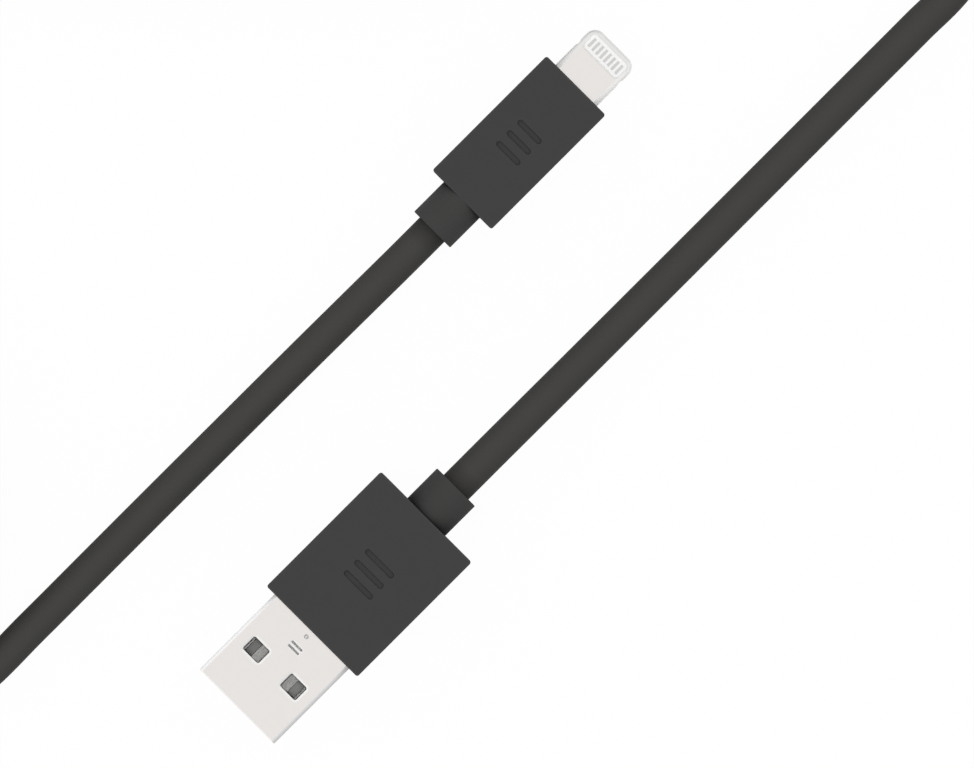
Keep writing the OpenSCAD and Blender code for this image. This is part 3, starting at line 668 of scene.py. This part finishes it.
# %% [markdown]
# Two last touches belong to every piece. Masks for the finishes are written on the mesh while it still
# lies along its own axes: the more a face leans away from all three axes, the more it is marked `worn`.
# The shell and the blade get one more mask, painted shade for the edges on one side: it is how much a
# face looks that way. And normals are weighted by the size of the faces, so that a big flat face stays
# flat right up to its rounded edge.

# %% Seating a piece
FULLY_WORN, WORN_CURVE, SHADE_CURVE = 0.02, 0.4, 0.5
SHARP = math.radians(40)


def write_mask(piece, name, values, domain):
    """Writes one number for each face or corner of a piece's mesh."""
    mask = piece.data.attributes.new(name, "FLOAT", domain)
    mask.data.foreach_set("value", values)


def worn_edges(piece, sheltered=lambda face: False, onset=lambda face: 0.0):
    """Marks the faces that lean more than the onset, but none that lie where nothing rubs them."""
    values = []
    for face in piece.data.polygons:
        lean = max(0.0, 1 - max(abs(part) for part in face.normal) - onset(face))
        worn = min(1.0, lean / FULLY_WORN) ** WORN_CURVE
        values.append(0.0 if sheltered(face) else worn)
    write_mask(piece, "worn", values, "FACE")


def paint_side_shade(piece, direction, rim=lambda face: 0.0):
    """Marks painted shade on the edges of one side, and on a rim if there is one."""
    towards = Vector(direction).normalized()
    values = []
    for face in piece.data.polygons:
        facing = max(0.0, face.normal.dot(towards)) ** SHADE_CURVE
        values.append(max(rim(face), min(1.0, facing)))
    write_mask(piece, "painted_shade", values, "FACE")


def seat(piece, place, nodes, slot, finish=None):
    """Marks the worn edges, moves the piece to its place, gives it its finish, and hides the solids it
    stands for.
    """
    mesh = piece.data
    if "worn" not in mesh.attributes:
        worn_edges(piece)
    mesh.transform(place @ Matrix.Scale(MM, 4))
    mesh.shade_smooth()
    mesh.set_sharp_from_angle(angle=SHARP)
    weighting = piece.modifiers.new("weighted_normals", "WEIGHTED_NORMAL")
    weighting.keep_sharp = True
    mesh.materials.clear()
    mesh.materials.append(finish or FINISHES[slot])
    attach(piece, "root")
    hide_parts(*nodes)
    print(piece.name, "has", len(mesh.polygons), "faces")


# %% [markdown]
# ## Punching holes in sheet
#
# A punch drags the sheet a little way down with it, so a hole has a shallow rolled rim that shines.
# Below the rim the sheet is cut, and then it tears at a slant, which looks dark because it mirrors the
# inside. The cutter for such a hole is a rounded bar: it widens along the slant, and it flares out as
# it meets the surface.

# %% A punch with a flared shoulder
def punch(a, b, radius, low, surface_level, rim, roll, at, slant=(0.0, 0.0)):
    """The rolled rim is rim wide and roll deep. slant is how far the hole narrows, and its depth there."""
    narrowing, slant_depth = slant
    levels = [(low, -narrowing)]
    if narrowing:
        levels.append((surface_level - slant_depth, -narrowing))
    levels += [(surface_level - roll * (1 - math.sin(angle)), rim * (1 - math.cos(angle)))
               for angle in QUARTER]
    levels.append((surface_level + rim, rim))
    return loft("punch", [upright(outline(a, b, radius, grow), level, at) for level, grow in levels])


def mirrored(cutter):
    """The same cutter for the underside."""
    cutter.data.transform(Matrix.Scale(-1, 4, (0, 0, 1)))
    cutter.data.flip_normals()
    return cutter


# %% [markdown]
# ## The metal shell of the host plug
#
# On the real plug the shell is one strip of 0.3 mm sheet, folded round into a flat tube with a butt
# seam underneath. It could be modelled as an outer box minus an inner one, but a tube of rings gives
# the bends and the rolled rim of the mouth for free. Two latch windows are punched in each broad face,
# and a narrow strap is lanced in the upper one near the housing. Behind the strap, the tool that held
# the sheet has left a small round mark: a ring-shaped groove with slanting walls.

# %% Shell
HOUSING_LENGTH = 18.4
HOUSING_FRONT = HOUSING_LENGTH / 2
SHELL_WIDTH, SHELL_HEIGHT, SHEET, BEND = 12.0, 4.5, 0.3, 0.5
SHELL_PROUD, SHELL_INSIDE = 12.1, 6.2
SHELL_TIP = HOUSING_FRONT + SHELL_PROUD
SHELL_BACK = HOUSING_FRONT - SHELL_INSIDE
BACK_EDGE, MOUTH_EDGE = 0.02, 0.12
# How far back from the mouth, and how much wider the tube is there inside
MOUTH_ROLL = ((0.0, 0.08), (0.03, 0.03), (0.10, 0.0))

outside = soft_levels(SHELL_BACK, SHELL_TIP, BACK_EDGE, MOUTH_EDGE)
inside = [(SHELL_TIP - back, wider - SHEET) for back, wider in MOUTH_ROLL] + [(SHELL_BACK, -SHEET)]
rings = [across(outline(SHELL_WIDTH, SHELL_HEIGHT, BEND, grow), station)
         for station, grow in outside + inside]
shell = loft("metal_shell", rings, tube=True)
print("the shell is", round(SHELL_TIP - SHELL_BACK, 1), "mm long and has", len(rings), "rings")

# %% [markdown]
# A window's cutter goes through the upper face, and its mirror image through the lower one. The strap
# is what is left between two slits. The cutter for the round mark is a small ring, pointed below.

# %% Cutters for the windows, the strap and the mark
WINDOW_LENGTH, WINDOW_WIDTH = 2.0, 2.5
WINDOW_FROM_TIP, WINDOW_OFFSET = 6.15, 2.98
WINDOW_CORNER, WINDOW_RIM, WINDOW_ROLL = 0.25, 0.28, 0.08
WINDOW_SLANT = (0.13, 0.27)
STRAP_FROM_TIP, STRAP_LENGTH, STRAP_WIDTH = 9.45, 1.65, 0.3
SLIT, SLIT_RIM, SLIT_ROLL = 0.26, 0.16, 0.06
MARK_INNER, MARK_OUTER, MARK_DEPTH, MARK_STATION = 0.09, 0.29, 0.16, 10.06
MARK_TOP = 0.1
SURFACE = SHELL_HEIGHT / 2
THROUGH = 2 * SHEET


def latch_window(side):
    return punch(WINDOW_LENGTH, WINDOW_WIDTH, WINDOW_CORNER, SURFACE - THROUGH, SURFACE, WINDOW_RIM,
                 WINDOW_ROLL, (SHELL_TIP - WINDOW_FROM_TIP, side * WINDOW_OFFSET), WINDOW_SLANT)


def slit(side):
    station = SHELL_TIP - STRAP_FROM_TIP + side * (STRAP_WIDTH + SLIT) / 2
    return punch(SLIT, STRAP_LENGTH, SLIT / 2, SURFACE - THROUGH, SURFACE, SLIT_RIM,
                 SLIT_ROLL, (station, 0))


def round_mark():
    bottom = (MARK_OUTER + MARK_INNER) / 2
    profile = ((MARK_OUTER, 0.0), (bottom, -MARK_DEPTH), (MARK_INNER, 0.0),
               (MARK_INNER, MARK_TOP), (MARK_OUTER, MARK_TOP))
    rings = [upright(circle(radius), SURFACE + level, (MARK_STATION, 0)) for radius, level in profile]
    return loft("mark", rings, tube=True)


# %% [markdown]
# The shell isn't worn all over alike. Nothing rubs the wall inside a hole. The bend on the brighter side
# gets a painted highlight from top to bottom, but its paler edge starts a little way off the broad faces.
# And the window walls nearest the bends get painted shade. Each of these is a question asked of every
# face.

# %% Where the shell is worn, and where it gets painted highlight and painted shade
LATE_ONSET = 0.042


def in_a_hole(face):
    """True below the rolled rim of a hole, and inside the shell."""
    return abs(face.center.y) < SHELL_WIDTH / 2 - BEND and abs(face.center.z) < SURFACE - WINDOW_ROLL


def on_painted_highlight_bend(face):
    return face.center.y < BEND - SHELL_WIDTH / 2


def late_wear_and_highlight(face):
    """Holds the wear and painted highlight back where the highlit bend starts to leave a broad face."""
    return LATE_ONSET if on_painted_highlight_bend(face) and abs(face.normal.z) > abs(face.normal.y) else 0.0


def painted_shade_wall(face):
    """True for the window walls nearest the bends, which get painted shade."""
    return in_a_hole(face) and abs(face.center.y) > WINDOW_OFFSET + WINDOW_WIDTH / 2 - WINDOW_CORNER


# %% The shell cut, marked and seated
SEAM = 0.06

windows = [latch_window(-1), latch_window(1), mirrored(latch_window(-1)), mirrored(latch_window(1))]
slits = [slit(-1), slit(1)]
seam = slab("seam", SHELL_TIP - SHELL_BACK + BEYOND, SEAM, SEAM / 2, -SURFACE - BEYOND, THROUGH - SURFACE,
            at=((SHELL_TIP + SHELL_BACK) / 2, 0))
combine(shell, windows + slits + [round_mark(), seam])
worn_edges(shell, sheltered=in_a_hole, onset=late_wear_and_highlight)
# Painted shade along one side, a painted highlight on the other bend, and painted shade on the window
# walls
paint_side_shade(shell, direction=(0, 1, 0))
for mask, test in (("painted_highlight", on_painted_highlight_bend), ("painted_wall_shade", painted_shade_wall)):
    write_mask(shell, mask, [float(test(face)) for face in shell.data.polygons], "FACE")
seat(shell, HOST, ["host_shell"], "nickel_shell")

# %% [markdown]
# ## Soft edges on the pieces in the mouth
#
# The tongue and its four contacts are seen through the windows and the mouth. Their solids have the
# right shape but knife edges, so each is copied, its triangles are melted back into whole faces, and
# its edges get a small bevel.

# %% Copies of solids with soft edges
SOLID_WELD, STILL_FLAT = 1e-4, math.radians(1)
BEVEL_SEGMENTS, MOUTH_BEVEL = 2, 0.03


def soft_copy(name, place, node, slot, width, grow=0.0, finish=None):
    """Copies a solid of the frame in its plug's own millimetres, grows, bevels and seats it."""
    made = bmesh.new()
    made.from_mesh(frame["nodes"][node].data)
    bmesh.ops.transform(made, matrix=(place @ Matrix.Scale(MM, 4)).inverted(), verts=made.verts)
    bmesh.ops.remove_doubles(made, verts=made.verts, dist=SOLID_WELD)
    bmesh.ops.dissolve_limit(made, angle_limit=STILL_FLAT, verts=made.verts, edges=made.edges)
    made.normal_update()
    outwards = [vertex.normal * vertex.calc_shell_factor() for vertex in made.verts]
    for vertex, step in zip(made.verts, outwards):
        vertex.co += grow * step
    piece = piece_from(name, made)
    bevel = piece.modifiers.new("bevel", "BEVEL")
    bevel.width, bevel.segments = width, BEVEL_SEGMENTS
    bevel.limit_method, bevel.angle_limit = "ANGLE", SHARP
    bpy.context.view_layer.update()
    settle(piece)
    seat(piece, place, [node], slot, finish)


soft_copy("host_tongue", HOST, "host_insulator", "white_insulator", MOUTH_BEVEL)
# Each pin gets a painted shade, the power pin a lighter one
for use in ("power", "data_minus", "data_plus", "ground"):
    plating = power_pin_painted_shade if use == "power" else pin_painted_shade
    soft_copy("host_pin_" + use, HOST, "host_contact_" + use, "contact_plating", MOUTH_BEVEL,
              finish=plating)

# %% [markdown]
# ## The two housings
#
# Each housing is a moulded sleeve with a crisp but not sharp edge. A block could be bevelled, but
# pulling a rounded outline upwards gives round corners and round long edges in one go. The mouth in
# front is cut to fit the metal with a hair of clearance, the inside is cut away from the back, and
# three shallow grooves on top give the finger a grip. Their rims are rolled like a punch's, so the
# light runs over them softly.

# %% Grip grooves
GRIP_COUNT, GRIP_PITCH, GRIP_WIDTH, GRIP_DEPTH, GRIP_RIM = 3, 1.7, 0.7, 0.25, 0.08


def grip_grooves(top, length):
    """Cutters for a row of grooves in the middle of a housing's top."""
    stations = [(i - (GRIP_COUNT - 1) / 2) * GRIP_PITCH for i in range(GRIP_COUNT)]
    return [punch(GRIP_WIDTH, length, GRIP_WIDTH / 2, top - GRIP_DEPTH, top, GRIP_RIM, GRIP_RIM, (x, 0))
            for x in stations]


# %% Housings
HOST_SLEEVE, DEVICE_SLEEVE = (14.6, 8.0, 0.8), (9.5, 5.8, 0.65)
HOST_GRIP, DEVICE_GRIP = 4.4, 3.6
CORNER, EDGE, INNER_CORNER = 0.3, 0.22, 0.05
FRONT_WALL, FIT = 1.2, 0.05
BLADE_WIDTH, BLADE_HEIGHT, BLADE_EDGE = 6.7, 1.5, 0.6


def housing(name, place, node, size, mouth, grip):
    """size is the sleeve's width, height and wall. mouth is the metal's width, height and radius."""
    width, height, wall = size
    mouth_width, mouth_height, mouth_radius = mouth
    sleeve = slab(name, HOUSING_LENGTH, width, CORNER, -height / 2, height / 2, EDGE)
    cavity_front = HOUSING_FRONT - FRONT_WALL
    cavity = bar("cavity", width - 2 * wall, height - 2 * wall, INNER_CORNER,
                 -HOUSING_LENGTH, cavity_front)
    opening = bar("opening", mouth_width + 2 * FIT, mouth_height + 2 * FIT, mouth_radius + FIT,
                  cavity_front - BEYOND, HOUSING_LENGTH)
    combine(sleeve, [cavity, opening] + grip_grooves(height / 2, grip))
    seat(sleeve, place, [node], "dark_housing")


shell_outline = (SHELL_WIDTH, SHELL_HEIGHT, BEND)
blade_outline = (BLADE_WIDTH, BLADE_HEIGHT, BLADE_EDGE)
housing("host_sleeve", HOST, "host_housing", HOST_SLEEVE, shell_outline, HOST_GRIP)
housing("device_sleeve", DEVICE, "device_housing", DEVICE_SLEEVE, blade_outline, DEVICE_GRIP)

# %% [markdown]
# ## The collars
#
# A collar is a short round sleeve that keeps the cable from kinking where it leaves the plug. It is
# moulded in one with the flange that closes the housing. Rings of a circle give the round part, with a
# soft lip at its free end, a rounded rectangle gives the flange, and the bore for the cable is cut
# through both. A collar is soft and set back, so its edges aren't marked as worn.

# %% A round rod
COLLAR_LENGTH, FLANGE = 4.8, 1.5
HOUSING_BACK = -HOUSING_FRONT
COLLAR_END = HOUSING_BACK - COLLAR_LENGTH


def rod(name, radius, back, front, lip=0.0, stations=()):
    """A round rod along the plug with a rounded back end, and more rings where they are wanted."""
    levels = rounded_start(back, lip) + [(station, 0.0) for station in (*stations, front)]
    return loft(name, [across(circle(radius + grow), station) for station, grow in levels])


# %% [markdown]
# The corner where a collar meets its housing gets painted shade, and it reaches further where the
# corner is deeper. The collar is round and the housing's back is flat, so the corner is shallow on top
# and deep at both sides. A mask named `corner` holds this painted shade: it is one in the corner, and
# fades over a length that grows with the depth. It needs rings close together near the housing, because
# a mask only changes from point to point.

# %% The mask of the painted shade in the corner
SHALLOW, FADE_RATIO, SHORTEST_FADE = 0.6, 0.44, 0.12
CLOSE_RINGS = (2.6, 2.0, 1.5, 1.1, 0.8, 0.55, 0.35, 0.22, 0.12, 0.05)


# The painted shade of the corner, one at the housing and fading away from it
def write_corner(piece, half_height):
    values = []
    for vertex in piece.data.vertices:
        from_housing = max(0.0, HOUSING_BACK - vertex.co.x)
        depth = half_height - abs(vertex.co.z)
        fade = max(SHORTEST_FADE, FADE_RATIO * (depth - SHALLOW))
        values.append(min(1.0, max(0.0, depth) / SHALLOW) * math.exp(-from_housing / fade))
    write_mask(piece, "corner", values, "POINT")


# %% A collar with its flange and bore
HOST_COLLAR, DEVICE_COLLAR = 6.1, 5.8
LIP, ROOT, FLANGE_EDGE = 0.12, 0.5, 0.03


def collar(name, place, node, size, diameter):
    """size is the width, height and wall of the housing that the flange closes."""
    width, height, wall = size
    gap = wall + FIT
    rings = [HOUSING_BACK - ring for ring in CLOSE_RINGS]
    sleeve = rod(name, diameter / 2, COLLAR_END, HOUSING_BACK + ROOT, LIP, rings)
    flange = bar("flange", width - 2 * gap, height - 2 * gap, INNER_CORNER, HOUSING_BACK,
                 HOUSING_BACK + FLANGE, FLANGE_EDGE)
    combine(sleeve, [flange], "UNION")
    bore = rod("bore", CABLE / 2 + FIT / 2, COLLAR_END - BEYOND, HOUSING_BACK + FLANGE + BEYOND)
    combine(sleeve, [bore])
    write_mask(sleeve, "worn", [0.0] * len(sleeve.data.polygons), "FACE")
    write_corner(sleeve, height / 2)
    seat(sleeve, place, [node], "dark_collar")


collar("host_collar", HOST, "host_strain_relief", HOST_SLEEVE, HOST_COLLAR)
collar("device_collar", DEVICE, "device_strain_relief", DEVICE_SLEEVE, DEVICE_COLLAR)

# %% [markdown]
# ## The blade of the device plug
#
# The blade is milled from solid metal: a flat tab with round corners and round edges, a window right
# through it near the tip for the contacts, and a detent in each side where the socket's springs click
# in. Its root steps up to a thicker block inside the housing, with two legs that hold the circuit
# board, so those come from boxes joined to the tab. Round the window the metal is sunk by a hundredth
# of a millimetre where the mould for the white plastic was pressed on, and that rim is painted darker,
# as painted shade round the white plastic.

# %% Blade
BLADE_PROUD, BLADE_CORNER = 6.4, 1.3
BLADE_TIP = HOUSING_FRONT + BLADE_PROUD
BASE_FRONT, BASE_BACK = 7.95, 6.55
BASE_WIDTH, BASE_HEIGHT, BASE_CORNER, BASE_EDGE = 7.4, 3.4, 0.1, 0.05
LEG_LENGTH, LEG_THICKNESS, LEG_HEIGHT, LEG_EDGE = 5.0, 0.4, 1.2, 0.04
BLADE_ROOT, LEG_ROOT = 0.5, 0.2
BLADE_BACK = BASE_BACK + BLADE_ROOT

blade = slab("blade", BLADE_TIP - BLADE_BACK, BLADE_WIDTH, BLADE_CORNER, -BLADE_HEIGHT / 2,
             BLADE_HEIGHT / 2, BLADE_EDGE, ((BLADE_TIP + BLADE_BACK) / 2, 0))
base = bar("base", BASE_WIDTH, BASE_HEIGHT, BASE_CORNER, BASE_BACK, BASE_FRONT, BASE_EDGE, BASE_EDGE)
legs = [bar("leg", LEG_THICKNESS, LEG_HEIGHT, LEG_EDGE, BASE_BACK - LEG_LENGTH, BASE_BACK + LEG_ROOT,
            LEG_EDGE, at=(side * (BLADE_WIDTH - LEG_THICKNESS) / 2, 0)) for side in (-1, 1)]
combine(blade, [base] + legs, "UNION")
print("the blade stands", BLADE_PROUD, "mm out of its housing")

# %% [markdown]
# The window's cutter is used from both faces, so each has its sunken rim. The channel is a tunnel from
# the window back through the base, for the plastic and the contacts that run in it. The detents are cut
# by round rods that stand beside the blade and reach a little way in.

# %% Window, channel and detents, and the blade in its place
INSERT_LENGTH, INSERT_WIDTH, INSERT_CORNER, INSERT_FROM_TIP = 2.0, 5.36, 0.45, 0.65
INSERT_STATION = BLADE_TIP - INSERT_FROM_TIP - INSERT_LENGTH / 2
CHANNEL_WIDTH, CHANNEL_HEIGHT, CHANNEL_CORNER = 5.2, 0.98, 0.02
DETENT_FROM_TIP, DETENT_RADIUS, DETENT_DEPTH, DETENT_REACH = 2.7, 0.9, 0.12, 2
RIM_WIDTH, RIM_DEPTH, RIM_SHADE, RIM_TILTS = 0.2, 0.01, 0.55, (1e-6, 0.013)


def detent(side):
    """A round cutter standing beside the blade."""
    middle = (BLADE_TIP - DETENT_FROM_TIP, side * (BLADE_WIDTH / 2 + DETENT_RADIUS - DETENT_DEPTH))
    rings = [upright(circle(DETENT_RADIUS), level, middle) for level in (-DETENT_REACH, DETENT_REACH)]
    return loft("detent", rings)


def insert_window():
    return punch(INSERT_LENGTH, INSERT_WIDTH, INSERT_CORNER, 0, BLADE_HEIGHT / 2, RIM_WIDTH,
                 RIM_DEPTH, (INSERT_STATION, 0))


def window_rim(face):
    """How much painted shade a face gets because it belongs to the sunken rim of a window."""
    beside = abs(face.center.x - INSERT_STATION) < INSERT_LENGTH / 2 + RIM_WIDTH
    between = abs(face.center.y) < INSERT_WIDTH / 2 + RIM_WIDTH
    tilt = 1 - abs(face.normal.z)
    return RIM_SHADE if beside and between and RIM_TILTS[0] < tilt < RIM_TILTS[1] else 0.0


channel = bar("channel", CHANNEL_WIDTH, CHANNEL_HEIGHT, CHANNEL_CORNER, BASE_BACK - BEYOND, INSERT_STATION)
combine(blade, [insert_window(), mirrored(insert_window()), channel, detent(-1), detent(1)])
# Painted shade on the edges of one side and on the window's sunken rim
paint_side_shade(blade, direction=(0.5, 1, 0), rim=window_rim)
seat(blade, DEVICE, ["device_blade"], "nickel_blade")

# %% [markdown]
# ## The white insert and its contacts
#
# The insert fills the blade's window flush, and eight bent contacts look out of each face of it. Their
# solids already have the right bends, so they are softened copies too. The plastic is moulded round the
# metal and closes up to it without a gap, so the insert is grown by nearly the whole clearance that its
# solid leaves. A contact is only a third of a millimetre wide, and its edges are rounded by less than a
# hundredth.

# %% Insert and contacts
PLASTIC_CLEARANCE, CLOSED_UP = 0.01, 0.8
INSERT_BEVEL, PAD_BEVEL = 0.003, 0.006

soft_copy("contact_insert", DEVICE, "device_contact_carrier", "white_insulator", INSERT_BEVEL,
          CLOSED_UP * PLASTIC_CLEARANCE)
for face in ("upper", "lower"):
    soft_copy("contact_pads_" + face, DEVICE, "device_contacts_" + face, "contact_plating", PAD_BEVEL)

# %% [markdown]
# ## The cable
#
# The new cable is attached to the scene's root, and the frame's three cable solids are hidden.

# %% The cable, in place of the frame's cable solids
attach(cable, "root")
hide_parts("cable_host_run", "cable_coil", "cable_device_run")

# %% [markdown]
# ## The table
#
# The table is white to the eye, but a white table would also throw a lot of light back up under the
# cable. Light Path tells the two apart: what looks at the table sees white with a trace of the object's
# shadow, and what is lit by it gets the light of a pale grey table top.

# %% White table
TABLE_SIDE, TABLE_SQUARES = 8, 4
SHADOW_SHARE = 0.03
SEEING_RAYS = ("Is Camera Ray", "Is Glossy Ray", "Is Transmission Ray")

top = bmesh.new()
bmesh.ops.create_grid(top, x_segments=TABLE_SQUARES, y_segments=TABLE_SQUARES, size=TABLE_SIDE / 2)
table = piece_from("table", top)
surface = Surface("table_white")
seen, mirrored_back, through = (surface.node("LightPath", {}, {}, ray) for ray in SEEING_RAYS)
looked_at = (seen + mirrored_back + through).clamped()
shadowed = surface.node("BsdfDiffuse", {}, {"Color": (0.97, 0.97, 0.97, 1)})
white = surface.node("Emission", {}, {"Color": (1, 1, 1, 1), "Strength": 1.0})
shown = surface.node("MixShader", {}, {0: SHADOW_SHARE, 1: white, 2: shadowed})
bounce = surface.node("BsdfDiffuse", {}, {"Color": (0.52, 0.52, 0.52, 1)})
table_top = surface.node("MixShader", {}, {0: looked_at, 1: bounce, 2: shown})
surface.node("OutputMaterial", {}, {"Surface": table_top})
table.data.materials.append(surface.material)
print("the table is", TABLE_SIDE, "m wide, and its finish has", len(surface.tree.nodes), "nodes")

# %% [markdown]
# ## The light
#
# A tent of white cloth is the kindest light for metal: there is nothing dark for it to mirror. The
# world is that tent. It is a little brighter towards the upper left of the view and dimmer to the lower
# right, which tells the two sides of every edge apart. Overhead it is even: the direction is squared,
# with its sign kept, so that the lean only counts low down.

# %% A tent of light
TENT = 0.97
LEAN = 0.16
TOWARDS_WINDOW = Vector((-1, 1, 0)).normalized()

world = bpy.data.worlds.new("tent")
bpy.context.scene.world = world
world.use_nodes = True
tent = Finish(world.node_tree)
direction = tent.node("TexCoord", {}, {}, "Generated")
towards = tent.node("VectorMath", {"operation": "DOT_PRODUCT"}, {0: direction, 1: TOWARDS_WINDOW}, "Value")
leaning = towards * towards.math("ABSOLUTE", towards)
light = tent.node("Background", {}, {"Color": (1, 1, 1, 1), "Strength": TENT + leaning * LEAN})
tent.node("OutputWorld", {}, {"Surface": light})
bpy.context.scene.view_settings.view_transform = "Standard"
print("the tent runs from", TENT - LEAN, "to", TENT + LEAN)
